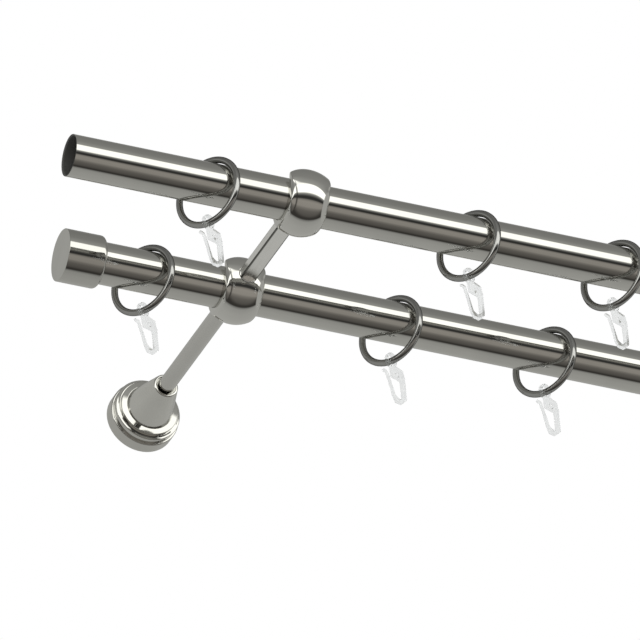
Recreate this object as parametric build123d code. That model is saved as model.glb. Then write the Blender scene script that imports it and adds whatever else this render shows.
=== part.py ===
from build123d import *
import math
import os

os.makedirs("parts", exist_ok=True)

# Double curtain rod on two wall brackets, in millimetres.
# X runs along the rods and Z is up. The wall is the plane Y = 0 and the room
# is on the -Y side. X = 0 is the middle of the left bracket.

# Tubes
tube_diameter = 25.0
tube_wall = 1.0
front_tube_length = 1200.0
front_tube_overhang = 143.3      # bracket middle to the open end
wall_to_back_tube = 157.0
tube_spacing = 104.0
back_cap_overhang = 109.2        # bracket middle to the cap's outer face

# End caps of the back tube
cap_diameter = 31.5
cap_length = 24.0
cap_face_thickness = 2.5
cap_rear_round = 2.4
cap_face_edge = 0.4
cap_slip = 0.15
cap_screw_from_face = 14.7
cap_screw_tilt = 60.0            # degrees above the horizontal, room side

# Tube holders
holder_diameter = 40.0
holder_half_width = 12.2
holder_side_round = 4.3
holder_lip = 0.6                 # width of the saddle's upper edge
holder_slip = 0.2
holder_screw_tilt = 140.0        # from the room side, down and back to the wall
socket_web = 1.6                 # metal left between a socket and the saddle

# Grub screws
grub_diameter = 5.0
grub_length = 5.5
grub_hex = 2.5
grub_hex_depth = 2.2
grub_slip = 0.1
grub_tip_gap = 0.05
small_grub_diameter = 4.0
small_grub_length = 3.0
small_grub_hex = 2.0
small_grub_hex_depth = 1.6

# Wall arm, a round rod from the wall socket to the back holder
wall_arm_diameter = 10.0
arm_slip = 0.2

# Front arm, a flat bar from the back holder to the front holder
front_arm_width = 9.8
front_arm_height = 6.4
front_arm_edge_round = 0.9
foot_diameter = 12.6
foot_thickness = 1.8
foot_seat = 18.2                 # foot's back face from the tube's axis
spigot_diameter = 8.0

# Wall plate with its stud
plate_diameter = 36.0
plate_thickness = 3.0
plate_hole_diameter = 4.5
plate_hole_pitch = 24.0
stud_diameter = 8.0
stud_length = 19.0
stud_slip = 0.1

# Rosette, the stepped round cover on the wall
rosette_diameter = 42.2
rosette_drum_height = 8.4
rosette_drum_edge = 0.7
rosette_bead_diameter = 40.2
rosette_bead_height = 13.6
rosette_neck_diameter = 37.6
rosette_groove = 0.6
rosette_lip_diameter = 35.4
rosette_height = 16.3
rosette_wall = 1.6
rosette_face_wall = 2.2
rosette_hole_slip = 0.4
plate_slip = 0.6

# Wall socket, the cone that holds the wall arm
socket_base_diameter = 28.6
socket_mouth_diameter = 14.8
socket_length = 26.7
socket_mouth_round = 1.0
socket_mouth_bore = 12.2
socket_mouth_depth = 4.0
socket_arm_depth = 18.0
socket_screw_from_mouth = 9.5

# Rings
ring_outer_diameter = 45.5
ring_wire = 4.0
ring_turn = 32.0                 # about Z, away from square to the tube
ring_slip = 0.3
front_ring_places = [-57.5, 104.0, 194.0]
back_ring_places = [-58.0, 96.5, 193.0]

# Hooks
hook_turn = 20.0                 # about Z
hook_eye_slip = 0.6
hook_eye_play = 1.3
hook_eye_wall = 1.25
hook_body = 2.6                  # thickness of the eye and the stem
hook_prong = 1.5                 # thickness of the thin prong
hook_stem_radius = 1.3
hook_drop = 24.9                 # wire's middle to the middle of the bend
hook_reach = 10.2                # wire's middle to the lowest point of the stem
hook_prong_radius = 0.75

# Derived places and sizes
tube_radius = tube_diameter / 2
holder_radius = holder_diameter / 2
front_y = -(wall_to_back_tube + tube_spacing)
back_y = -wall_to_back_tube
bracket_gap = front_tube_length - 2 * front_tube_overhang
bracket_places = [0.0, bracket_gap]
sides = ["left", "right"]
bore_radius = tube_radius + holder_slip
socket_floor = bore_radius + socket_web
rod_tip = cap_face_thickness + cap_slip
ring_radius = (ring_outer_diameter - ring_wire) / 2
ring_z = tube_radius + ring_slip + ring_wire / 2 - ring_radius
hook_z = ring_z - ring_radius
far = 4 * holder_diameter


def save(name, shape):
    export_step(shape, f"parts/{name}.step")


def along_x(radius, length):
    # A cylinder from x = 0 to x = length.
    return Pos(length / 2, 0, 0) * Rot(0, 90, 0) * Cylinder(radius, length)


def along_y(radius, start, end):
    # A cylinder on the Y axis between two Y places.
    middle = (start + end) / 2
    return Pos(0, middle, 0) * Rot(90, 0, 0) * Cylinder(radius, abs(end - start))


def turned(points):
    # A solid of revolution on the Y axis, from (radius, distance off the wall).
    outline = make_face(Polyline(*[(r, -h) for r, h in points], close=True))
    return revolve(outline, Axis.Y)


def tube(length):
    return along_x(tube_radius, length) - along_x(tube_radius - tube_wall, length)


def grub_screw(diameter, length, hex_size, hex_depth):
    # Stands on its tip at z = 0, with the hexagon socket on top.
    body = Pos(0, 0, length / 2) * Cylinder(diameter / 2, length)
    body = chamfer(body.edges().filter_by(GeomType.CIRCLE), diameter / 12)
    key = extrude(RegularPolygon(hex_size / math.sqrt(3), 6), hex_depth)
    return body - Pos(0, 0, length - hex_depth) * key


def screw_hole(diameter, start, end):
    middle = (start + end) / 2
    return Pos(0, 0, middle) * Cylinder(diameter / 2 + grub_slip, end - start)


def end_cap():
    # The flat face is at x = 0 and the tube comes in from +X.
    radius = cap_diameter / 2
    body = along_x(radius, cap_length)
    rear = body.edges().filter_by(GeomType.CIRCLE).sort_by(Axis.X)[-1]
    body = fillet(rear, cap_rear_round)
    face = body.edges().filter_by(GeomType.CIRCLE).sort_by(Axis.X)[0]
    body = chamfer(face, cap_face_edge)
    socket = along_x(tube_radius + cap_slip, cap_length)
    body -= Pos(cap_face_thickness, 0, 0) * socket
    hole = screw_hole(small_grub_diameter, tube_radius, cap_diameter)
    return body - cap_screw_place() * hole


def cap_screw_place():
    return Pos(cap_screw_from_face, 0, 0) * Rot(90 - cap_screw_tilt, 0, 0)


def cap_screw():
    small = grub_screw(small_grub_diameter, small_grub_length, small_grub_hex, small_grub_hex_depth)
    return cap_screw_place() * Pos(0, 0, tube_radius + grub_tip_gap) * small


def holder_blank():
    # A ball with flat sides and a saddle for the tube, open at the top.
    ball = Sphere(holder_radius) & Box(2 * holder_half_width, far, far)
    rims = [e for e in ball.edges().filter_by(GeomType.CIRCLE) if abs(e.center().X) > holder_half_width - 0.01]
    ball = fillet(rims, holder_side_round)
    crown = math.sqrt(holder_radius**2 - (bore_radius + holder_lip) ** 2)
    ball &= along_y(crown, far, -far) + Pos(0, 0, -far / 2) * Box(far, far, far)
    ball -= Pos(-far / 2, 0, 0) * along_x(bore_radius, far)
    ball -= Pos(0, 0, far / 2) * Box(far, 2 * bore_radius, far)
    return ball - holder_screw_place() * screw_hole(grub_diameter, tube_radius, holder_diameter)


def holder_screw_place():
    # Turns up into the direction of the grub screw, under and behind the tube.
    return Rot(holder_screw_tilt + 90, 0, 0)


def tube_screw():
    screw = grub_screw(grub_diameter, grub_length, grub_hex, grub_hex_depth)
    return holder_screw_place() * Pos(0, 0, tube_radius + grub_tip_gap) * screw


def back_holder():
    body = holder_blank()
    body -= along_y(wall_arm_diameter / 2 + arm_slip, socket_floor, far)
    body -= along_y(foot_diameter / 2 + arm_slip, -foot_seat, -far)
    return body - along_y(spigot_diameter / 2 + arm_slip, -socket_floor, -far)


def bar(extra, start, end):
    # The flat bar's section, grown by extra on every side.
    width = front_arm_width + 2 * extra
    height = front_arm_height + 2 * extra
    section = RectangleRounded(width, height, front_arm_edge_round + extra)
    return extrude(Plane((0, start, 0), x_dir=(1, 0, 0), z_dir=(0, -1, 0)) * section, start - end)


def front_holder():
    return holder_blank() - bar(arm_slip, far, socket_floor)


def front_arm():
    # Y = 0 is the back tube's axis. The bar runs toward the room.
    foot_front = -(foot_seat + foot_thickness)
    tip = -tube_spacing + socket_floor + arm_slip
    arm = along_y(spigot_diameter / 2, -socket_floor - arm_slip, -foot_seat)
    arm += along_y(foot_diameter / 2, -foot_seat, foot_front)
    return arm + bar(0, foot_front, tip)


def wall_arm():
    # From the floor of the wall socket to the back of the back holder.
    start = -(rosette_height + socket_length - socket_arm_depth + arm_slip)
    end = -(wall_to_back_tube - socket_floor - arm_slip)
    arm = along_y(wall_arm_diameter / 2, start, end)
    return chamfer(arm.edges().filter_by(GeomType.CIRCLE), wall_arm_diameter / 20)


def wall_plate():
    plate = along_y(plate_diameter / 2, 0, -plate_thickness)
    plate += along_y(stud_diameter / 2, 0, -plate_thickness - stud_length)
    for end in (-1, 1):
        place = Pos(0, 0, end * plate_hole_pitch / 2)
        plate -= place * along_y(plate_hole_diameter / 2, 0, -plate_thickness)
    return plate


def rosette():
    # Drum, rounded bead, groove and lip, hollow behind and open for the stud.
    drum = rosette_diameter / 2
    bead = rosette_bead_diameter / 2
    neck = rosette_neck_diameter / 2
    lip = rosette_lip_diameter / 2
    shoulder = rosette_bead_height - (bead - neck)
    edge = rosette_drum_edge
    top = rosette_height
    inner = drum - rosette_wall
    waist = lip - rosette_wall
    outline = [
        (0, 0),
        (drum, 0),
        (drum, rosette_drum_height - edge),
        (drum - edge, rosette_drum_height),
        (bead, rosette_drum_height),
        (bead, shoulder),
        (neck, rosette_bead_height),
        (neck - rosette_groove, rosette_bead_height),
        (neck - rosette_groove, rosette_bead_height + rosette_groove),
        (lip, rosette_bead_height + rosette_groove),
        (lip, top - edge),
        (lip - edge, top),
        (0, top),
    ]
    hollow = [
        (0, 0),
        (inner, 0),
        (inner, rosette_drum_height - rosette_wall),
        (waist, rosette_drum_height + rosette_groove),
        (waist, top - rosette_face_wall),
        (0, top - rosette_face_wall),
    ]
    body = turned(outline) - turned(hollow)
    return body - along_y(stud_diameter / 2 + rosette_hole_slip, 0, -top)


def wall_socket():
    # A cone on the rosette. The stud holds its base and the arm its mouth.
    base = rosette_height
    mouth = rosette_height + socket_length
    outer = socket_mouth_diameter / 2
    cone = turned([
        (0, base),
        (socket_base_diameter / 2, base),
        (outer, mouth),
        (0, mouth),
    ])
    rim = cone.edges().filter_by(GeomType.CIRCLE).sort_by(Axis.Y)[0]
    cone = fillet(rim, socket_mouth_round)
    cone -= along_y(socket_mouth_bore / 2, -(mouth - socket_mouth_depth), -mouth)
    cone -= along_y(wall_arm_diameter / 2 + arm_slip, -(mouth - socket_arm_depth), -mouth)
    stud_end = plate_thickness + stud_length + arm_slip
    cone -= along_y(stud_diameter / 2 + stud_slip, -base, -stud_end)
    hole = screw_hole(small_grub_diameter, 0, socket_base_diameter)
    return cone - Pos(0, -(mouth - socket_screw_from_mouth), 0) * hole


def socket_screw():
    place = rosette_height + socket_length - socket_screw_from_mouth
    small = grub_screw(small_grub_diameter, small_grub_length, small_grub_hex, small_grub_hex_depth)
    return Pos(0, -place, wall_arm_diameter / 2 + grub_tip_gap) * small


def ring():
    # The wire rides over the top of the tube.
    hoop = Torus(ring_radius, ring_wire / 2)
    return Pos(0, 0, ring_z) * Rot(0, 0, ring_turn) * Rot(0, 90, 0) * hoop


def strap(*stations):
    # A flat strip through round stations (x, z, radius), joined by tangents.
    strip = Sketch()
    for first, second in zip(stations, stations[1:]):
        ends = [Pos(x, z) * Circle(r) for x, z, r in (first, second)]
        strip += make_hull(ends[0].edges() + ends[1].edges())
    return strip


def thick(sketch, thickness):
    return extrude(Plane.XZ * sketch, thickness / 2, both=True)


def hook():
    # The ring's wire passes through the eye at the origin.
    hole = ring_wire / 2 + hook_eye_slip
    rim = hole + hook_eye_wall
    top = hook_eye_play
    stem = hook_stem_radius
    thin = hook_prong_radius
    shoulder = (hook_reach - 2.8, -rim - 1.2)
    elbow = (hook_reach - 1.5, -rim - 5.6)
    heel = (hook_reach, -hook_drop + 2.9)
    eye = strap((0, 0, rim), (0, top, rim))
    plate = strap((1.4, -rim - 5.4, 1.0), (0.8, -rim, 1.6), (*shoulder, stem), (*elbow, stem))
    web = strap((1.4, -rim - 5.4, 1.0), (*elbow, stem))
    leg = strap((*elbow, stem), (*heel, stem))
    bend = strap((*heel, stem), (hook_reach - 2.4, -hook_drop, stem), (hook_reach - 5.4, -hook_drop, stem))
    body = eye + plate + web + leg + bend
    body += make_hull([edge for edge in plate.edges()])
    body -= strap((0, 0, hole), (0, top, hole))
    body -= Pos(hook_reach - 5.0, -rim - 3.4) * Circle(1.5)
    prong = strap(
        (hook_reach - 5.4, -hook_drop, 1.1),
        (hook_reach - 7.8, -hook_drop + 2.2, 1.0),
        (hook_reach - 11.0, -hook_drop + 10.2, thin),
        (hook_reach - 13.7, -hook_drop + 16.2, thin),
        (hook_reach - 16.0, -hook_drop + 16.6, thin),
    )
    return thick(body, hook_body) + thick(prong, hook_prong)


def brackets():
    for side, x in zip(sides, bracket_places):
        save(f"wall_plate_{side}", Pos(x, 0, 0) * wall_plate())
        save(f"rosette_{side}", Pos(x, 0, 0) * rosette())
        save(f"wall_socket_{side}", Pos(x, 0, 0) * wall_socket())
        save(f"wall_arm_{side}", Pos(x, 0, 0) * wall_arm())
        save(f"back_holder_{side}", Pos(x, back_y, 0) * back_holder())
        save(f"front_arm_{side}", Pos(x, back_y, 0) * front_arm())
        save(f"front_holder_{side}", Pos(x, front_y, 0) * front_holder())


def tubes():
    save("front_tube", Pos(-front_tube_overhang, front_y, 0) * tube(front_tube_length))
    start = -back_cap_overhang + rod_tip
    save("back_tube", Pos(start, back_y, 0) * tube(bracket_gap - 2 * start))


def cap_places():
    left = Pos(-back_cap_overhang, back_y, 0)
    right = Pos(bracket_gap + back_cap_overhang, back_y, 0)
    return [left, right]


def caps():
    left, right = cap_places()
    save("back_cap_left", left * end_cap())
    save("back_cap_right", right * mirror(end_cap(), Plane.YZ))


def screws():
    left, right = cap_places()
    pair = [left * cap_screw(), right * mirror(cap_screw(), Plane.YZ)]
    save("cap_screws", Compound(children=pair))
    rows = [(x, y) for x in bracket_places for y in (back_y, front_y)]
    save("tube_screws", Compound(children=[Pos(x, y, 0) * tube_screw() for x, y in rows]))
    save("socket_screws", Compound(children=[Pos(x, 0, 0) * socket_screw() for x in bracket_places]))


def runners(row, y, places):
    # Three rings near the left bracket and the same three near the right one.
    mirrored = [bracket_gap - x for x in reversed(places)]
    one_ring = ring()
    one_hook = Pos(0, 0, hook_z) * Rot(0, 0, hook_turn) * hook()
    for number, x in enumerate(places + mirrored, start=1):
        save(f"{row}_ring_{number}", Pos(x, y, 0) * one_ring)
        save(f"{row}_hook_{number}", Pos(x, y, 0) * one_hook)


tubes()
caps()
brackets()
screws()
runners("front", front_y, front_ring_places)
runners("back", back_y, back_ring_places)
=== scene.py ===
import math

import bmesh
import bpy
import numpy as np
from mathutils import Matrix, Vector


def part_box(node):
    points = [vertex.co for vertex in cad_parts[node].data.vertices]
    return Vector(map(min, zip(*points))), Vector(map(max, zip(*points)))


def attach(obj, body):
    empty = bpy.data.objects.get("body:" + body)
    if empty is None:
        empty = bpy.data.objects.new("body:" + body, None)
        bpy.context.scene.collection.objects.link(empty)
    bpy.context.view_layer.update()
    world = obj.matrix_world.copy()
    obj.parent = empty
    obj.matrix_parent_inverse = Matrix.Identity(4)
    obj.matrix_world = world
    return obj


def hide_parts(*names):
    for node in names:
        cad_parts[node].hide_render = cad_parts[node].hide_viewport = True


# A double curtain rod with rings and clear hooks, in metres. X runs along the
# tubes, the room is on the -Y side, the wall is Y = 0 and Z is up. Every smooth
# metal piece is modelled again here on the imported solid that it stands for.

MM = 0.001
TURN_STEPS = 96
FINE_STEPS = 128
ROUND_STEPS = 5

# Tubes and end caps
TUBE_WALL = 1.0 * MM
TUBE_EDGE = 0.12 * MM
TUBE_RIM = 0.25 * MM
BORE_TOLERANCE = 0.02 * MM
END_FACING = 0.4                 # a face's least tilt to the end to count as cut end
CAP_FACE = 2.5 * MM
CAP_WALL = 3.1 * MM
CAP_REAR_ROUND = 2.4 * MM
CAP_EDGE = 0.4 * MM
CAP_INNER_EDGE = 0.3 * MM
CAP_SCREW_FROM_FACE = 14.7 * MM
CAP_SCREW_TILT = math.radians(60)

# Holders
HOLDER_RADIUS = 20.0 * MM
HOLDER_HALF_WIDTH = 12.2 * MM
HOLDER_SIDE_ROUND = 4.3 * MM
HOLDER_TOP_ROUND = 0.7 * MM
HOLDER_TOP_WIDENING = 0.275
HOLDER_SHARP_FROM = 0.38         # sine of the turn where the side edges are sharp
HOLDER_LIP_ROUND = 0.6 * MM
HOLDER_BORE = 12.7 * MM
HOLDER_FLOOR = 1.6 * MM          # metal left between a socket and the saddle
HOLDER_SCREW_TURN = math.radians(230)
# Points along a holder's round sides and ball, and along its line across the tube
SIDE_STEPS = 14
BALL_STEPS = 22
OUTER_STEPS = 110
SADDLE_STEPS = 48
WALL_STEPS = 8
LIP_STEPS = 7

# Grub screws
SCREW_RADIUS = 2.5 * MM
SCREW_LENGTH = 5.5 * MM
SCREW_KEY = 2.5 * MM
SCREW_KEY_DEPTH = 2.2 * MM
SMALL_SCREW_RADIUS = 2.0 * MM
SMALL_SCREW_LENGTH = 3.0 * MM
SMALL_SCREW_KEY = 2.0 * MM
SMALL_SCREW_KEY_DEPTH = 1.6 * MM
SCREW_PLAY = 0.1 * MM
SCREW_TIP_GAP = 0.05 * MM
SCREW_STEPS = 32

# Arms
WALL_ARM_RADIUS = 5.0 * MM
ARM_STEPS = 64
BAR_EDGE = 0.9 * MM
BAR_HEIGHT = 6.4 * MM
BAR_WIDTH = 9.8 * MM
FOOT_RADIUS = 5.5 * MM
FOOT_THICKNESS = 1.8 * MM
FOOT_SEAT = 18.2 * MM
SPIGOT_RADIUS = 4.0 * MM

# Wall plate, rosette and wall socket, as radii and distances off the wall
PLATE_THICKNESS = 3.0 * MM
PLATE_HOLE_RADIUS = 2.25 * MM
PLATE_HOLE_PITCH = 24.0 * MM
STUD_RADIUS = 4.0 * MM
STUD_HOLE_DEPTH = 19.0 * MM
DRUM_TOP = 8.4 * MM
BEAD_RADIUS = 20.1 * MM
BEAD_TOP = 13.6 * MM
NECK_RADIUS = 18.8 * MM
GROOVE = 0.6 * MM
LIP_RADIUS = 17.7 * MM
ROSETTE_WALL = 1.6 * MM
ROSETTE_FACE = 2.2 * MM
ROSETTE_HOLE = 4.4 * MM
SOCKET_BASE_RADIUS = 14.3 * MM
SOCKET_MOUTH_RADIUS = 7.4 * MM
SOCKET_MOUTH_ROUND = 1.0 * MM
SOCKET_MOUTH_BORE = 6.1 * MM
SOCKET_MOUTH_DEPTH = 4.0 * MM
SOCKET_ARM_DEPTH = 18.0 * MM
SOCKET_SCREW_FROM_MOUTH = 9.5 * MM
ARM_PLAY = 0.2 * MM

# Rings and hooks
WIRE_RADIUS = 2.0 * MM
WIRE_STEPS = 24
RING_RADIUS = 20.75 * MM
RING_TURN = math.radians(32)
HOOK_TURN = math.radians(20)
HOOK_BODY = 2.6 * MM
HOOK_PRONG = 1.5 * MM
HOOK_EDGE = 0.45 * MM
HOOK_GRID = 0.1 * MM

# Camera
VIEW_LEFT = math.radians(21.3)
VIEW_BELOW = math.radians(31.45)
VIEW_CENTRE = Vector((0.0486, -0.1662, -0.0145))
VIEW_DISTANCE = 12.0
VIEW_WIDTH = 0.3721
SENSOR_WIDTH = 36.0
FLOOR_HEIGHT = -7.2
FLOOR_HALF = 40.0

ALONG_X = Matrix.Rotation(math.radians(90), 4, "Y")
OFF_WALL = Matrix.Rotation(math.radians(90), 4, "X")
UPWARD = Matrix.Identity(4)


def add_object(name, mesh):
    piece = bpy.data.objects.new(name, mesh)
    bpy.context.scene.collection.objects.link(piece)
    return piece


def smooth(mesh, angle=38):
    for face in mesh.polygons:
        face.use_smooth = True
    mesh.set_sharp_from_angle(angle=math.radians(angle))


def skin(name, loops, closed=True, ends=False):
    """A surface through a row of closed loops. A loop of one point is a pole."""
    points = [point for loop in loops for point in loop]
    starts = np.cumsum([0] + [len(loop) for loop in loops])
    pairs = list(zip(range(len(loops) - 1), range(1, len(loops))))
    if closed:
        pairs.append((len(loops) - 1, 0))
    faces = []
    for first, second in pairs:
        a, b = int(starts[first]), int(starts[second])
        count = max(len(loops[first]), len(loops[second]))
        for k in range(count):
            m = (k + 1) % count
            if len(loops[first]) == 1:
                faces.append((a, b + m, b + k))
            elif len(loops[second]) == 1:
                faces.append((a + k, a + m, b))
            else:
                faces.append((a + k, a + m, b + m, b + k))
    if ends:
        faces.append(tuple(range(len(loops[0]))))
        faces.append(tuple(range(int(starts[-2]), int(starts[-1]))))
    mesh = bpy.data.meshes.new(name)
    mesh.from_pydata(points, [], faces)
    tidy(mesh)
    return mesh


def tidy(mesh):
    work = bmesh.new()
    work.from_mesh(mesh)
    bmesh.ops.recalc_face_normals(work, faces=work.faces)
    work.to_mesh(mesh)
    work.free()
    smooth(mesh)


def rounded(corners):
    """A closed outline from (radius, along, round), with an arc at each round."""
    outline = []
    count = len(corners)
    for i, (radius, along, size) in enumerate(corners):
        here = Vector((radius, along))
        if size == 0:
            outline.append(tuple(here))
            continue
        back = (Vector(corners[i - 1][:2]) - here).normalized()
        ahead = (Vector(corners[(i + 1) % count][:2]) - here).normalized()
        half = back.angle(ahead) / 2
        centre = here + (back + ahead).normalized() * size / math.sin(half)
        start = here + back * size / math.tan(half) - centre
        end = here + ahead * size / math.tan(half) - centre
        turn = start.angle_signed(end)
        for step in range(ROUND_STEPS + 1):
            angle = -turn * step / ROUND_STEPS
            cos, sin = math.cos(angle), math.sin(angle)
            outline.append((
                centre.x + start.x * cos - start.y * sin,
                centre.y + start.x * sin + start.y * cos,
            ))
    return outline


def lathe(name, corners, direction, steps=TURN_STEPS):
    """Turns an outline about an axis through the origin."""
    outline = rounded(corners)
    loops = []
    for radius, along in outline:
        if radius < 1e-6:
            loops.append([direction @ Vector((0, 0, along))])
            continue
        angles = [2 * math.pi * k / steps for k in range(steps)]
        loop = [Vector((radius * math.cos(a), radius * math.sin(a), along)) for a in angles]
        loops.append([direction @ point for point in loop])
    pole = corners[0][0] == 0 and corners[-1][0] == 0
    return skin(name, loops, closed=not pole)


def apply_boolean(piece, other, operation):
    modifier = piece.modifiers.new("cut", "BOOLEAN")
    modifier.operation = operation
    modifier.solver = "MANIFOLD"
    modifier.object = other
    bpy.context.view_layer.update()
    graph = bpy.context.evaluated_depsgraph_get()
    mesh = bpy.data.meshes.new_from_object(piece.evaluated_get(graph))
    piece.modifiers.clear()
    piece.data = mesh
    bpy.data.objects.remove(other)
    smooth(mesh)


def even_shading(piece):
    modifier = piece.modifiers.new("even_shading", "WEIGHTED_NORMAL")
    modifier.keep_sharp = True
    modifier.weight = 50


def finish_piece(piece, node, body, material):
    piece.data.materials.clear()
    piece.data.materials.append(material)
    even_shading(piece)
    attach(piece, body)
    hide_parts(node)


def rod_mesh(name, radius, start, end, edge, direction, steps=TURN_STEPS):
    corners = [(0, start, 0), (radius, start, edge), (radius, end, edge), (0, end, 0)]
    return lathe(name, corners, direction, steps)


def drill(piece, radius, start, end, place):
    tool = add_object("drill", rod_mesh("drill", radius, start, end, 0, UPWARD, SCREW_STEPS))
    tool.matrix_world = place
    apply_boolean(piece, tool, "DIFFERENCE")


def tube_mesh(name, radius, length):
    """A tube with deburred inner edges."""
    inner, rim = radius - TUBE_WALL, radius - TUBE_RIM
    slope = TUBE_WALL - TUBE_RIM
    corners = [
        (radius, 0, TUBE_EDGE),
        (radius, length, TUBE_EDGE),
        (rim, length, 0),
        (inner, length - slope, 0),
        (inner, slope, 0),
        (rim, 0, 0),
    ]
    return lathe(name, corners, ALONG_X, FINE_STEPS)


def tubes(material, inside, ends):
    """Nickel outside, with duller materials for the bore and for the cut ends."""
    for node in ("front_tube", "back_tube"):
        low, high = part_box(node)
        radius = (high.z - low.z) / 2
        mesh = tube_mesh(node, radius, high.x - low.x)
        piece = add_object(node + "_shell", mesh)
        piece.location = (low.x, (low.y + high.y) / 2, 0)
        finish_piece(piece, node, "frame", material)
        piece.data.materials.append(inside)
        piece.data.materials.append(ends)
        for face in piece.data.polygons:
            if math.hypot(face.center.y, face.center.z) < radius - TUBE_WALL + BORE_TOLERANCE:
                face.material_index = 1
            elif abs(face.normal.x) > END_FACING:
                face.material_index = 2


def cap_mesh(name, radius, length):
    inner = radius - CAP_WALL
    corners = [
        (0, 0, 0),
        (radius, 0, CAP_EDGE),
        (radius, length, CAP_REAR_ROUND),
        (inner, length, CAP_INNER_EDGE),
        (inner, CAP_FACE, 0),
        (0, CAP_FACE, 0),
    ]
    return lathe(name, corners, ALONG_X)


def cap_screw_place(side):
    tilt = Matrix.Rotation(math.radians(90) - CAP_SCREW_TILT, 4, "X")
    return Matrix.Translation((side * CAP_SCREW_FROM_FACE, 0, 0)) @ tilt


def caps(material):
    for node, side in (("back_cap_left", 1), ("back_cap_right", -1)):
        low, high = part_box(node)
        radius = (high.z - low.z) / 2
        piece = add_object(node + "_shell", cap_mesh(node, radius, high.x - low.x))
        if side < 0:
            piece.data.transform(Matrix.Scale(-1, 4, (1, 0, 0)))
            piece.data.flip_normals()
        place = cap_screw_place(side)
        drill(piece, SMALL_SCREW_RADIUS + SCREW_PLAY, 0.8 * radius, 1.2 * radius, place)
        piece.location = (low.x if side > 0 else high.x, (low.y + high.y) / 2, 0)
        finish_piece(piece, node, "frame", material)


def holder_reach(x, turn):
    """Distance of the holder's outside from the tube: a ball with flat sides, whose
    edges are largely rounded in front and below and sharp up at the saddle."""
    share = min(max(math.sin(turn) / HOLDER_SHARP_FROM, 0), 1)
    share = share * share * (3 - 2 * share)
    edge = HOLDER_SIDE_ROUND + share * (HOLDER_TOP_ROUND - HOLDER_SIDE_ROUND)
    fall = 1 - share * HOLDER_TOP_WIDENING
    core, flat = HOLDER_RADIUS - edge, HOLDER_HALF_WIDTH - edge
    if abs(x) < HOLDER_RADIUS * flat / core:
        return math.sqrt(HOLDER_RADIUS ** 2 - fall * x ** 2)
    side = math.sqrt(max(edge ** 2 - (abs(x) - flat) ** 2, 0))
    return math.sqrt(core ** 2 - fall * flat ** 2) + side


def holder_section(x):
    """A closed line across the tube: round the outside, over a lip, through the
    saddle and over the other lip."""
    radius = holder_reach(x, math.radians(60))
    lip = min(HOLDER_LIP_ROUND, 0.48 * (radius - HOLDER_BORE))
    out = HOLDER_BORE + lip
    top = math.sqrt((radius - lip) ** 2 - out ** 2)
    lean = math.atan2(top, out)
    line = []

    def arc(along, up, size, first, last, steps):
        for step in range(1, steps + 1):
            turn = first + (last - first) * step / steps
            line.append(Vector((x, -along - size * math.cos(turn), up + size * math.sin(turn))))

    def wall(along, first, last):
        for step in range(1, WALL_STEPS + 1):
            line.append(Vector((x, -along, first + (last - first) * step / WALL_STEPS)))

    for step in range(1, OUTER_STEPS + 1):
        turn = lean - (math.pi + 2 * lean) * step / OUTER_STEPS
        reach = holder_reach(x, turn)
        line.append(Vector((x, -reach * math.cos(turn), reach * math.sin(turn))))
    arc(-out, top, lip, math.pi - lean, 0, LIP_STEPS)
    wall(-HOLDER_BORE, top, 0)
    arc(0, 0, HOLDER_BORE, math.pi, 2 * math.pi, SADDLE_STEPS)
    wall(HOLDER_BORE, 0, top)
    arc(out, top, lip, math.pi, lean, LIP_STEPS)
    return line


def holder_mesh(name):
    """A ball with two flat sides and an open saddle for the tube."""
    flat = HOLDER_HALF_WIDTH - HOLDER_SIDE_ROUND
    start = math.acos(flat / (HOLDER_RADIUS - HOLDER_SIDE_ROUND))
    stations = []
    for step in range(SIDE_STEPS):
        stations.append(flat + HOLDER_SIDE_ROUND * math.cos(start * step / SIDE_STEPS))
    for step in range(BALL_STEPS):
        stations.append(HOLDER_RADIUS * math.cos(start + (math.pi / 2 - start) * step / BALL_STEPS))
    stations += [0] + [-x for x in reversed(stations)]
    return skin(name, [holder_section(x) for x in stations], closed=False, ends=True)


def bar_mesh(name, start, end, extra=0.0):
    """The front arm's flat bar, from two distances toward the room."""
    width, height, edge = BAR_WIDTH / 2 + extra, BAR_HEIGHT / 2 + extra, BAR_EDGE + extra
    section = rounded([
        (width, -height, edge),
        (width, height, edge),
        (-width, height, edge),
        (-width, -height, edge),
    ])
    loops = [[Vector((x, -along, z)) for x, z in section] for along in (start, end)]
    middles = [[Vector((0, -along, 0))] for along in (start, end)]
    return skin(name, [middles[0], loops[0], loops[1], middles[1]], closed=False)


def holders(material):
    toward_wall = Matrix.Rotation(math.radians(-90), 4, "X")
    screw_turn = Matrix.Rotation(HOLDER_SCREW_TURN, 4, "X")
    socket, past = HOLDER_BORE + HOLDER_FLOOR, 2 * HOLDER_RADIUS
    for side in ("left", "right"):
        for row in ("back", "front"):
            node = f"{row}_holder_{side}"
            low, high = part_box(node)
            tube_low, tube_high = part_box(f"{row}_tube")
            piece = add_object(node + "_shell", holder_mesh(node))
            start, end = HOLDER_BORE - MM, HOLDER_RADIUS + MM
            drill(piece, SCREW_RADIUS + SCREW_PLAY, start, end, screw_turn)
            if row == "back":
                drill(piece, WALL_ARM_RADIUS + ARM_PLAY, socket, past, toward_wall)
                drill(piece, FOOT_RADIUS + ARM_PLAY, FOOT_SEAT, past, OFF_WALL)
                drill(piece, SPIGOT_RADIUS + ARM_PLAY, socket, FOOT_SEAT + MM, OFF_WALL)
            else:
                tool = bar_mesh("slot", -past, -socket, ARM_PLAY)
                apply_boolean(piece, add_object("slot", tool), "DIFFERENCE")
            piece.location = ((low.x + high.x) / 2, (tube_low.y + tube_high.y) / 2, 0)
            finish_piece(piece, node, "frame", material)


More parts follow.
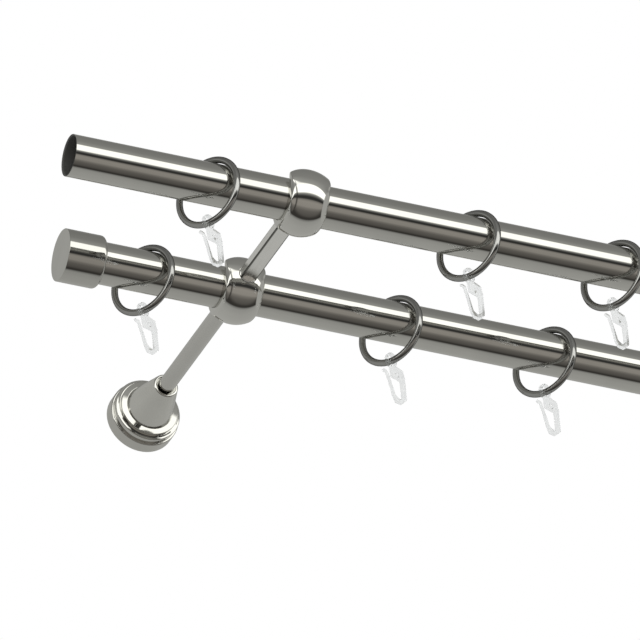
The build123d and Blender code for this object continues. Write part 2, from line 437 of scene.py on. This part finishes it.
def arms(round_material, flat_material):
    for side in ("left", "right"):
        node = f"wall_arm_{side}"
        low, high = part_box(node)
        mesh = rod_mesh(node, WALL_ARM_RADIUS, -high.y, -low.y, 0.4 * MM, OFF_WALL, ARM_STEPS)
        piece = add_object(node + "_shell", mesh)
        piece.location.x = (low.x + high.x) / 2
        finish_piece(piece, node, "frame", round_material)

        node = f"front_arm_{side}"
        low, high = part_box(node)
        back = -high.y
        seat = back + FOOT_SEAT - HOLDER_BORE - HOLDER_FLOOR - ARM_PLAY
        bar = add_object(node + "_shell", bar_mesh(node, seat + FOOT_THICKNESS / 2, -low.y))
        foot = lathe("foot", [
            (0, back, 0),
            (SPIGOT_RADIUS, back, 0.3 * MM),
            (SPIGOT_RADIUS, seat, 0),
            (FOOT_RADIUS, seat, 0),
            (FOOT_RADIUS, seat + FOOT_THICKNESS, 0.7 * MM),
            (0, seat + FOOT_THICKNESS, 0),
        ], OFF_WALL, ARM_STEPS)
        apply_boolean(bar, add_object("foot", foot), "UNION")
        bar.location.x = (low.x + high.x) / 2
        finish_piece(bar, node, "frame", flat_material)


def wall_plates(material):
    for side in ("left", "right"):
        node = f"wall_plate_{side}"
        low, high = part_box(node)
        radius = (high.x - low.x) / 2
        mesh = lathe(node, [
            (0, 0, 0),
            (radius, 0, 0.4 * MM),
            (radius, PLATE_THICKNESS, 0.4 * MM),
            (STUD_RADIUS, PLATE_THICKNESS, 0),
            (STUD_RADIUS, -low.y, 0.5 * MM),
            (0, -low.y, 0),
        ], OFF_WALL)
        piece = add_object(node + "_shell", mesh)
        for end in (-1, 1):
            place = Matrix.Translation((0, 0, end * PLATE_HOLE_PITCH / 2)) @ OFF_WALL
            drill(piece, PLATE_HOLE_RADIUS, -MM, PLATE_THICKNESS + MM, place)
        piece.location.x = (low.x + high.x) / 2
        finish_piece(piece, node, "frame", material)


def rosettes(material):
    for side in ("left", "right"):
        node = f"rosette_{side}"
        low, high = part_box(node)
        radius, height = (high.x - low.x) / 2, -low.y
        groove = NECK_RADIUS - GROOVE
        waist = LIP_RADIUS - ROSETTE_WALL
        mesh = lathe(node, [
            (radius, 0, 0.3 * MM),
            (radius, DRUM_TOP, 0.7 * MM),
            (BEAD_RADIUS - 0.4 * MM, DRUM_TOP, 0.3 * MM),
            (BEAD_RADIUS, BEAD_TOP - 0.54 * MM, 0.5 * MM),
            (NECK_RADIUS, BEAD_TOP - 0.28 * MM, 0.2 * MM),
            (groove, BEAD_TOP, 0),
            (groove, BEAD_TOP + GROOVE, 0),
            (LIP_RADIUS, BEAD_TOP + GROOVE, 0),
            (LIP_RADIUS, height - 0.59 * MM, 0.5 * MM),
            (SOCKET_BASE_RADIUS + 0.2 * MM, height, 0.4 * MM),
            (ROSETTE_HOLE, height, 0.2 * MM),
            (ROSETTE_HOLE, height - ROSETTE_FACE, 0),
            (waist, height - ROSETTE_FACE, 0),
            (waist, DRUM_TOP + GROOVE, 0),
            (radius - ROSETTE_WALL, DRUM_TOP - ROSETTE_WALL, 0),
            (radius - ROSETTE_WALL, 0, 0.3 * MM),
        ], OFF_WALL, FINE_STEPS)
        piece = add_object(node + "_shell", mesh)
        piece.location.x = (low.x + high.x) / 2
        finish_piece(piece, node, "frame", material)


def wall_sockets(material):
    for side in ("left", "right"):
        node = f"wall_socket_{side}"
        low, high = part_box(node)
        base, mouth = -high.y, -low.y
        arm_bore = WALL_ARM_RADIUS + ARM_PLAY
        stud_bore = STUD_RADIUS + SCREW_PLAY
        stud_end = PLATE_THICKNESS + STUD_HOLE_DEPTH + ARM_PLAY
        mesh = lathe(node, [
            (SOCKET_BASE_RADIUS, base, 0.25 * MM),
            (SOCKET_MOUTH_RADIUS, mouth, SOCKET_MOUTH_ROUND),
            (SOCKET_MOUTH_BORE, mouth, 0.25 * MM),
            (SOCKET_MOUTH_BORE, mouth - SOCKET_MOUTH_DEPTH, 0),
            (arm_bore, mouth - SOCKET_MOUTH_DEPTH, 0),
            (arm_bore, mouth - SOCKET_ARM_DEPTH, 0),
            (0, mouth - SOCKET_ARM_DEPTH, 0),
            (0, stud_end, 0),
            (stud_bore, stud_end, 0),
            (stud_bore, base, 0),
        ], OFF_WALL)
        piece = add_object(node + "_shell", mesh)
        place = Matrix.Translation((0, -(mouth - SOCKET_SCREW_FROM_MOUTH), 0))
        drill(piece, SMALL_SCREW_RADIUS + SCREW_PLAY, WALL_ARM_RADIUS, SOCKET_BASE_RADIUS, place)
        piece.location.x = (low.x + high.x) / 2
        finish_piece(piece, node, "frame", material)


def grub_screw(name, radius, length, key, key_depth):
    """Stands on its tip at z = 0, with a hexagon socket on top."""
    mesh = rod_mesh(name, radius, 0, length, radius / 6, UPWARD, SCREW_STEPS)
    screw = add_object(name, mesh)
    hexagon = rod_mesh("key", key / math.sqrt(3), length - key_depth, length + MM, 0, UPWARD, 6)
    apply_boolean(screw, add_object("key", hexagon), "DIFFERENCE")
    return screw


def screw_group(node, sizes, places, material):
    """One piece made of the same grub screw at several places."""
    screw = grub_screw(node + "_shell", *sizes)
    work = bmesh.new()
    for place in places:
        copy = screw.data.copy()
        copy.transform(place)
        work.from_mesh(copy)
        bpy.data.meshes.remove(copy)
    mesh = bpy.data.meshes.new(node)
    work.to_mesh(mesh)
    work.free()
    screw.data = mesh
    smooth(mesh)
    finish_piece(screw, node, "frame", material)


def screws(material):
    large = (SCREW_RADIUS, SCREW_LENGTH, SCREW_KEY, SCREW_KEY_DEPTH)
    small = (SMALL_SCREW_RADIUS, SMALL_SCREW_LENGTH, SMALL_SCREW_KEY, SMALL_SCREW_KEY_DEPTH)
    front_low, front_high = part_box("front_tube")
    back_low, back_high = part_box("back_tube")
    radius = (front_high.z - front_low.z) / 2
    front_y = (front_low.y + front_high.y) / 2
    back_y = (back_low.y + back_high.y) / 2
    brackets = [sum(c.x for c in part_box(f"rosette_{side}")) / 2 for side in ("left", "right")]
    tip = Matrix.Translation((0, 0, radius + SCREW_TIP_GAP))
    turned = Matrix.Rotation(HOLDER_SCREW_TURN, 4, "X") @ tip
    spots = [Matrix.Translation((x, y, 0)) @ turned for x in brackets for y in (back_y, front_y)]
    screw_group("tube_screws", large, spots, material)
    ends = [(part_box("back_cap_left")[0].x, 1), (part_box("back_cap_right")[1].x, -1)]
    spots = [Matrix.Translation((x, back_y, 0)) @ cap_screw_place(side) @ tip for x, side in ends]
    screw_group("cap_screws", small, spots, material)
    mouth = -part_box("wall_socket_left")[0].y
    height = WALL_ARM_RADIUS + SCREW_TIP_GAP
    spots = [Matrix.Translation((x, SOCKET_SCREW_FROM_MOUTH - mouth, height)) for x in brackets]
    screw_group("socket_screws", small, spots, material)


def ring_mesh():
    loops = []
    for step in range(TURN_STEPS):
        turn = 2 * math.pi * step / TURN_STEPS
        out = Vector((0, math.cos(turn), math.sin(turn)))
        across = Vector((1, 0, 0))
        loop = []
        for k in range(WIRE_STEPS):
            a = 2 * math.pi * k / WIRE_STEPS
            reach = RING_RADIUS + WIRE_RADIUS * math.cos(a)
            loop.append(out * reach + across * WIRE_RADIUS * math.sin(a))
        loops.append(loop)
    return skin("ring", loops)


def segment_distance(x, z, start, end):
    """Distance to a strip between two round stations (x, z, radius)."""
    ax, az, ar = start
    bx, bz, br = end
    length = max((bx - ax) ** 2 + (bz - az) ** 2, 1e-12)
    share = np.clip(((x - ax) * (bx - ax) + (z - az) * (bz - az)) / length, 0, 1)
    away = np.hypot(x - ax - share * (bx - ax), z - az - share * (bz - az))
    return away - (ar + share * (br - ar))


def strip_distance(x, z, stations):
    parts = [segment_distance(x, z, a, b) for a, b in zip(stations, stations[1:])]
    return np.minimum.reduce(parts)


def soft_union(first, second, size):
    mix = np.clip(0.5 + 0.5 * (second - first) / size, 0, 1)
    return second * (1 - mix) + first * mix - size * mix * (1 - mix)


# Hook outline in millimetres from the ring's wire, as in the solid
WIRE_HOLE = 2.6
EYE = WIRE_HOLE + 1.25
EYE_TOP = 1.3
REACH = 10.2
DROP = 24.9
STEM = 1.3
ELBOW = (REACH - 1.5, -EYE - 5.6, STEM)
HEEL = (REACH, -DROP + 2.9, STEM)
SHOULDER = (REACH - 2.8, -EYE - 1.2, STEM)


def hook_body_distance(x, z):
    eye = strip_distance(x, z, [(0, 0, EYE), (0, EYE_TOP, EYE)])
    plate = strip_distance(x, z, [(1.4, -EYE - 5.4, 1.0), (0.8, -EYE, 1.6), SHOULDER, ELBOW])
    web = strip_distance(x, z, [(1.4, -EYE - 5.4, 1.0), ELBOW])
    fill = strip_distance(x, z, [(3.2, -EYE - 2.6, 2.6), (6.6, -EYE - 3.6, 2.6)])
    leg = strip_distance(x, z, [ELBOW, HEEL])
    bend = strip_distance(x, z, [HEEL, (REACH - 2.4, -DROP, STEM), (REACH - 5.4, -DROP, STEM)])
    body = soft_union(eye, np.minimum(plate, fill), 0.8)
    body = soft_union(body, web, 0.5)
    body = soft_union(body, np.minimum(leg, bend), 0.6)
    return body


def hook_prong_distance(x, z):
    thin = 0.75
    return strip_distance(x, z, [
        (REACH - 5.4, -DROP, 1.1),
        (REACH - 7.8, -DROP + 2.2, 1.0),
        (REACH - 11.0, -DROP + 10.2, thin),
        (REACH - 13.7, -DROP + 16.2, thin),
        (REACH - 16.0, -DROP + 16.6, thin),
    ])


def hook_distance(x, z):
    body = soft_union(hook_body_distance(x, z), hook_prong_distance(x, z), 0.5)
    hole = strip_distance(x, z, [(0, 0, WIRE_HOLE), (0, EYE_TOP, WIRE_HOLE)])
    small_hole = np.hypot(x - REACH + 5.0, z + EYE + 3.4) - 1.5
    return np.maximum(np.maximum(body, -hole), -small_hole)


def contours(field, xs, zs):
    """Closed lines where the field is zero, as lists of points."""
    inside = field < 0
    points, links = {}, {}

    def crossing(i, j, k, m):
        key = (i, j, k, m)
        if key not in points:
            share = field[i, j] / (field[i, j] - field[k, m])
            points[key] = (xs[j] + share * (xs[m] - xs[j]), zs[i] + share * (zs[k] - zs[i]))
        return key

    mixed = inside[:-1, :-1].astype(int) + inside[1:, :-1] + inside[:-1, 1:] + inside[1:, 1:]
    for i, j in np.argwhere((mixed > 0) & (mixed < 4)):
        corners = [(i, j), (i, j + 1), (i + 1, j + 1), (i + 1, j)]
        hits = []
        for a, b in zip(corners, corners[1:] + corners[:1]):
            if inside[a] != inside[b]:
                low, high = sorted((a, b))
                hits.append(crossing(*low, *high))
        for a, b in zip(hits[::2], hits[1::2]):
            links.setdefault(a, []).append(b)
            links.setdefault(b, []).append(a)
    lines = []
    while links:
        start = next(iter(links))
        line, here = [start], start
        while links.get(here):
            ahead = links[here].pop()
            links[ahead].remove(here)
            if not links[here]:
                del links[here]
            if ahead == start:
                break
            line.append(ahead)
            here = ahead
        links.pop(start, None)
        lines.append([points[key] for key in line])
    return lines


def hook_mesh():
    """The moulded hook: its outline, filled and with rounded edges."""
    step = HOOK_GRID / MM
    xs = np.arange(-8.0, REACH + 3.0, step)
    zs = np.arange(-DROP - 3.0, EYE + EYE_TOP + 1.5, step)
    field = hook_distance(*np.meshgrid(xs, zs))
    outline = bpy.data.curves.new("hook", "CURVE")
    outline.dimensions = "2D"
    outline.fill_mode = "BOTH"
    outline.extrude = HOOK_BODY / 2 - HOOK_EDGE
    outline.bevel_depth = HOOK_EDGE
    outline.bevel_resolution = 2
    outline.offset = -HOOK_EDGE
    for line in contours(field, xs, zs):
        kept = line[::3]
        spline = outline.splines.new("POLY")
        spline.points.add(len(kept) - 1)
        for point, (x, z) in zip(spline.points, kept):
            point.co = (x * MM, z * MM, 0, 1)
        spline.use_cyclic_u = True
    shape = add_object("hook_outline", outline)
    bpy.context.view_layer.update()
    graph = bpy.context.evaluated_depsgraph_get()
    mesh = bpy.data.meshes.new_from_object(shape.evaluated_get(graph))
    bpy.data.objects.remove(shape)
    work = bmesh.new()
    work.from_mesh(mesh)
    bmesh.ops.remove_doubles(work, verts=work.verts, dist=0.004 * MM)
    bmesh.ops.recalc_face_normals(work, faces=work.faces)
    work.to_mesh(mesh)
    work.free()
    for vertex in mesh.vertices:
        x, z, away = vertex.co
        body = float(hook_body_distance(x / MM, z / MM))
        prong = float(hook_prong_distance(x / MM, z / MM))
        thin = min(max(body / 2.0, 0), 1) if prong < body else 0
        thickness = 1 - thin * (1 - HOOK_PRONG / HOOK_BODY)
        vertex.co = (x, -away * thickness, z)
    smooth(mesh, 50)
    return mesh


def runners(ring_material, hook_material):
    ring, hook = ring_mesh(), hook_mesh()
    ring.transform(Matrix.Rotation(RING_TURN, 4, "Z"))
    hook.transform(Matrix.Rotation(HOOK_TURN, 4, "Z"))
    for row in ("front", "back"):
        for number in range(1, 7):
            node = f"{row}_ring_{number}"
            low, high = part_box(node)
            centre = (low + high) / 2
            piece = add_object(node + "_wire", ring)
            piece.location = centre
            finish_piece(piece, node, node, ring_material)
            node = f"{row}_hook_{number}"
            piece = add_object(node + "_moulding", hook)
            piece.location = centre - Vector((0, 0, RING_RADIUS))
            finish_piece(piece, node, node, hook_material)


def noise(tree, scale, detail, stretch=(1, 1, 1)):
    place = tree.nodes.new("ShaderNodeTexCoord")
    mapping = tree.nodes.new("ShaderNodeMapping")
    mapping.inputs["Scale"].default_value = stretch
    texture = tree.nodes.new("ShaderNodeTexNoise")
    texture.inputs["Scale"].default_value = scale
    texture.inputs["Detail"].default_value = detail
    tree.links.new(place.outputs["Object"], mapping.inputs["Vector"])
    tree.links.new(mapping.outputs["Vector"], texture.inputs["Vector"])
    return texture.outputs["Fac"]


def spread(tree, value, low, high):
    """Maps the middle of a noise to a range."""
    node = tree.nodes.new("ShaderNodeMapRange")
    node.inputs["From Min"].default_value = 0.3
    node.inputs["From Max"].default_value = 0.7
    node.inputs["To Min"].default_value = low
    node.inputs["To Max"].default_value = high
    tree.links.new(value, node.inputs["Value"])
    return node.outputs["Result"]


def two_tones(tree, value, first, second):
    ramp = tree.nodes.new("ShaderNodeValToRGB")
    ramp.color_ramp.elements[0].position = 0.3
    ramp.color_ramp.elements[0].color = (*first, 1)
    ramp.color_ramp.elements[1].position = 0.7
    ramp.color_ramp.elements[1].color = (*second, 1)
    tree.links.new(value, ramp.inputs["Fac"])
    return ramp.outputs["Color"]


def metal(name, color, roughness, grain=900, stretch=(1, 1, 1)):
    """Plated metal: a faint cloud in its tone, fine polish marks in gloss and relief."""
    material = bpy.data.materials.new(name)
    material.use_nodes = True
    tree = material.node_tree
    shader = tree.nodes["Principled BSDF"]
    shader.inputs["Metallic"].default_value = 1.0
    cloud = noise(tree, 45, 2)
    darker = [0.965 * c for c in color]
    lighter = [min(1.02 * c, 1) for c in color]
    tree.links.new(two_tones(tree, cloud, darker, lighter), shader.inputs["Base Color"])
    marks = noise(tree, grain, 3, stretch)
    gloss = spread(tree, marks, 0.75 * roughness, 1.25 * roughness)
    tree.links.new(gloss, shader.inputs["Roughness"])
    bump = tree.nodes.new("ShaderNodeBump")
    bump.inputs["Strength"].default_value = 0.3
    bump.inputs["Distance"].default_value = 0.004 * MM
    tree.links.new(marks, bump.inputs["Height"])
    tree.links.new(bump.outputs["Normal"], shader.inputs["Normal"])
    return material


def dull_steel(name, tone):
    """Bare, scattering metal inside a tube and on its cut ends."""
    material = metal(name, (tone, tone, 0.97 * tone), 0.6, 300)
    material.node_tree.nodes["Principled BSDF"].inputs["Metallic"].default_value = 0.0
    return material


def paint_edge_shade(material, half_width, half_height):
    """Painted shade along a bar's four rounded edges, over the metal's own tone."""
    inner, outer = 1.2 * MM, 0.6 * MM
    tree = material.node_tree
    shader = tree.nodes["Principled BSDF"]
    tone = shader.inputs["Base Color"].links[0].from_socket
    place = tree.nodes.new("ShaderNodeTexCoord")
    split = tree.nodes.new("ShaderNodeSeparateXYZ")
    tree.links.new(place.outputs["Object"], split.inputs["Vector"])
    across = calculate(tree, "ABSOLUTE", split.outputs["X"])
    upward = calculate(tree, "ABSOLUTE", split.outputs["Z"])
    across = between(tree, across, half_width - inner, half_width - outer)
    upward = between(tree, upward, half_height - inner, half_height - outer)
    share = calculate(tree, "MULTIPLY", across, upward)
    # Painted shade: the base colour turns nearly black towards the bar's rounded edges.
    tree.links.new(mix_colors(tree, share, tone, (0.16, 0.16, 0.15)), shader.inputs["Base Color"])
    return material


def clear_plastic(name):
    material = bpy.data.materials.new(name)
    material.use_nodes = True
    tree = material.node_tree
    shader = tree.nodes["Principled BSDF"]
    shader.inputs["Transmission Weight"].default_value = 0.88
    shader.inputs["IOR"].default_value = 1.08
    cloud = noise(tree, 160, 2)
    milk = two_tones(tree, cloud, (0.84, 0.85, 0.85), (0.92, 0.93, 0.925))
    tree.links.new(milk, shader.inputs["Base Color"])
    tree.links.new(spread(tree, noise(tree, 700, 2), 0.25, 0.4), shader.inputs["Roughness"])
    return material


# World strips: angle about the tubes' direction in degrees, from the room side
# and up, with the light that comes from there
WARM = (1.0, 0.94, 0.86)
PLAIN = (1.0, 1.0, 0.96)
DIM = (0.045, 0.042, 0.038)
PALE = tuple(0.45 * c for c in PLAIN)
FLOOR_PATCH = (0.17, -0.88, -0.44)
STRIPS = [
    (-180, 0.46, PLAIN),
    (-120, 0.43, PLAIN),
    (-97, 0.38, PLAIN),
    (-91, 0.26, PLAIN),
    (-84, 0.04, WARM),
    (-80, 0.06, WARM),
    (-75, 0.10, WARM),
    (-57, 0.155, WARM),
    (-48, 0.24, WARM),
    (-42, 0.34, WARM),
    (-26, 0.36, WARM),
    (-20, 0.26, WARM),
    (-16, 0.045, PLAIN),
    (-9, 0.035, PLAIN),
    (-4, 0.14, PLAIN),
    (2, 0.42, PLAIN),
    (6, 1.7, PLAIN),
    (34.5, 1.7, PLAIN),
    (37.5, 0.42, PLAIN),
    (62, 0.29, PLAIN),
    (107, 0.235, PLAIN),
    (146, 0.36, PLAIN),
    (180, 0.46, PLAIN),
]


def calculate(tree, operation, *values):
    """A math node's result, from numbers or other nodes' outputs."""
    node = tree.nodes.new("ShaderNodeMath")
    node.operation = operation
    for socket, value in zip(node.inputs, values):
        if isinstance(value, (int, float)):
            socket.default_value = value
        else:
            tree.links.new(value, socket)
    return node.outputs["Value"]


def between(tree, value, low, high):
    """0 below low, 1 above high and a soft step between."""
    node = tree.nodes.new("ShaderNodeMapRange")
    node.interpolation_type = "SMOOTHSTEP"
    node.inputs["From Min"].default_value = low
    node.inputs["From Max"].default_value = high
    tree.links.new(value, node.inputs["Value"])
    return node.outputs["Result"]


def band(tree, angle, low, high):
    """0 to 1 as an angle goes from one number of degrees to another."""
    return between(tree, angle, math.radians(low), math.radians(high))


def mix_colors(tree, share, first, second):
    node = tree.nodes.new("ShaderNodeMix")
    node.data_type = "RGBA"
    sockets = [node.inputs[0], node.inputs[6], node.inputs[7]]
    for socket, value in zip(sockets, (share, first, second)):
        if isinstance(value, (int, float)):
            socket.default_value = value
        elif isinstance(value, tuple):
            socket.default_value = (*value, 1)
        else:
            tree.links.new(value, socket)
    return node.outputs[2]


def studio():
    """A softbox in front and above, a dim room below it and a pale wall behind."""
    world = bpy.data.worlds.new("studio")
    world.use_nodes = True
    bpy.context.scene.world = world
    tree = world.node_tree
    background = tree.nodes["Background"]
    place = tree.nodes.new("ShaderNodeTexCoord")
    split = tree.nodes.new("ShaderNodeSeparateXYZ")
    tree.links.new(place.outputs["Generated"], split.inputs["Vector"])
    x, y, z = split.outputs
    toward = calculate(tree, "MULTIPLY", y, -1.0)
    turn = calculate(tree, "ARCTAN2", z, toward)
    share = calculate(tree, "ADD", calculate(tree, "DIVIDE", turn, 2 * math.pi), 0.5)
    ramp = tree.nodes.new("ShaderNodeValToRGB")
    tree.links.new(share, ramp.inputs["Fac"])
    elements = ramp.color_ramp.elements
    while len(elements) > 1:
        elements.remove(elements[-1])
    for i, (angle, level, tint) in enumerate(STRIPS):
        element = elements[0] if i == 0 else elements.new((angle + 180) / 360)
        element.position = (angle + 180) / 360
        element.color = (*(level * c for c in tint), 1)
    light = ramp.outputs["Color"]

    # The room is dim around the patch of floor that is lit
    lit = tree.nodes.new("ShaderNodeVectorMath")
    lit.operation = "DOT_PRODUCT"
    tree.links.new(place.outputs["Generated"], lit.inputs[0])
    lit.inputs[1].default_value = FLOOR_PATCH
    below = band(tree, turn, -6, -12)
    before_wall = band(tree, turn, -90, -84)
    patch = math.cos(math.radians(44)), math.cos(math.radians(62))
    around = between(tree, lit.outputs["Value"], *patch)
    dim = calculate(tree, "MULTIPLY", calculate(tree, "MULTIPLY", below, before_wall), around)

    # and past the left end of the softbox, up to the pale wall on the far left
    aside = calculate(tree, "DIVIDE", x, calculate(tree, "MAXIMUM", toward, 0.01))
    past_end = between(tree, aside, -0.80, -0.86)
    level = calculate(tree, "MULTIPLY", band(tree, turn, -12, -6), band(tree, turn, 42, 36))
    dim = calculate(tree, "MAXIMUM", dim, calculate(tree, "MULTIPLY", past_end, level))
    left = calculate(
        tree, "MULTIPLY", between(tree, x, -0.48, -0.58), between(tree, y, 0.25, 0.05)
    )
    left = calculate(tree, "MULTIPLY", left, between(tree, z, -0.85, -0.7))
    dim = calculate(tree, "MAXIMUM", dim, left)
    dim = calculate(tree, "MULTIPLY", dim, between(tree, x, -0.62, -0.56))
    light = mix_colors(tree, dim, light, DIM)

    # The ceiling is lighter on the left and over the wall, and the right side is pale
    ceiling = calculate(tree, "MULTIPLY", band(tree, turn, 100, 130), between(tree, x, 0.3, -0.3))
    light = mix_colors(tree, ceiling, light, PALE)
    light = mix_colors(tree, between(tree, x, 0.84, 0.88), light, PALE)

    # Behind the object the picture is white
    path = tree.nodes.new("ShaderNodeLightPath")
    seen = calculate(
        tree, "MAXIMUM", path.outputs["Is Camera Ray"], path.outputs["Is Transmission Ray"]
    )
    tree.links.new(mix_colors(tree, seen, light, (1.0, 1.0, 1.0)), background.inputs["Color"])
    background.inputs["Strength"].default_value = 1.0


def floor():
    mesh = bpy.data.meshes.new("floor")
    corners = [(-1, -1), (1, -1), (1, 1), (-1, 1)]
    points = [(x * FLOOR_HALF, y * FLOOR_HALF, FLOOR_HEIGHT) for x, y in corners]
    mesh.from_pydata(points, [], [(0, 1, 2, 3)])
    piece = add_object("floor", mesh)
    material = bpy.data.materials.new("floor_paper")
    material.use_nodes = True
    shader = material.node_tree.nodes["Principled BSDF"]
    shader.inputs["Base Color"].default_value = (0.9, 0.9, 0.9, 1)
    shader.inputs["Roughness"].default_value = 0.9
    mesh.materials.append(material)
    piece.visible_glossy = False


def camera():
    data = bpy.data.cameras.new("camera")
    data.sensor_width = SENSOR_WIDTH
    data.lens = SENSOR_WIDTH * VIEW_DISTANCE / VIEW_WIDTH
    data.clip_end = 200
    piece = bpy.data.objects.new("camera", data)
    bpy.context.scene.collection.objects.link(piece)
    back = Vector((
        -math.sin(VIEW_LEFT) * math.cos(VIEW_BELOW),
        -math.cos(VIEW_LEFT) * math.cos(VIEW_BELOW),
        -math.sin(VIEW_BELOW),
    ))
    right = Vector((math.cos(VIEW_LEFT), -math.sin(VIEW_LEFT), 0))
    up = back.cross(right)
    turn = Matrix((right, up, back)).transposed().to_4x4()
    piece.matrix_world = Matrix.Translation(VIEW_CENTRE + back * VIEW_DISTANCE) @ turn
    bpy.context.scene.camera = piece


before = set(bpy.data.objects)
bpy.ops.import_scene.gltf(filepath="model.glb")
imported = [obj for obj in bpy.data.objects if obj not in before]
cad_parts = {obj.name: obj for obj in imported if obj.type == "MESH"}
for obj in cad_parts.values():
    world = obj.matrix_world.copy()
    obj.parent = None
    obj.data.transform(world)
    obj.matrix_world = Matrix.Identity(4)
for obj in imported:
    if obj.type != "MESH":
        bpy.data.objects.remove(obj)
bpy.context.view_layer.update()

nickel = (0.635, 0.63, 0.60)
tubes(
    metal("tube_nickel", nickel, 0.035, 700, (0.05, 1, 1)),
    dull_steel("tube_inside", 0.12),
    dull_steel("tube_ends", 0.12),
)
caps(metal("cap_nickel", (0.60, 0.595, 0.565), 0.06, 900, (1, 0.2, 0.2)))
holders(metal("holder_nickel", (0.70, 0.695, 0.665), 0.03, 400))
bar_nickel = metal("front_arm_nickel", (0.92, 0.915, 0.89), 0.2, 800, (1, 0.05, 1))
arms(
    metal("wall_arm_nickel", (0.66, 0.655, 0.63), 0.12, 800, (1, 0.05, 1)),
    # The front arm's bar gets painted shade along its rounded edges.
    paint_edge_shade(bar_nickel, BAR_WIDTH / 2, BAR_HEIGHT / 2),
)
wall_plates(metal("zinc_plate", (0.56, 0.56, 0.55), 0.35, 500))
rosettes(metal("rosette_nickel", nickel, 0.045, 500))
wall_sockets(metal("socket_nickel", (0.74, 0.735, 0.70), 0.16, 700))
screws(metal("screw_steel", (0.42, 0.42, 0.42), 0.3, 900))
ring_nickel = metal("ring_nickel", (0.42, 0.42, 0.41), 0.08, 500)
ring_shader = ring_nickel.node_tree.nodes["Principled BSDF"]
ring_shader.inputs["Specular Tint"].default_value = (0.05, 0.05, 0.05, 1)
runners(ring_nickel, clear_plastic("clear_plastic"))

studio()
floor()
camera()
bpy.context.scene.view_settings.view_transform = "Standard"
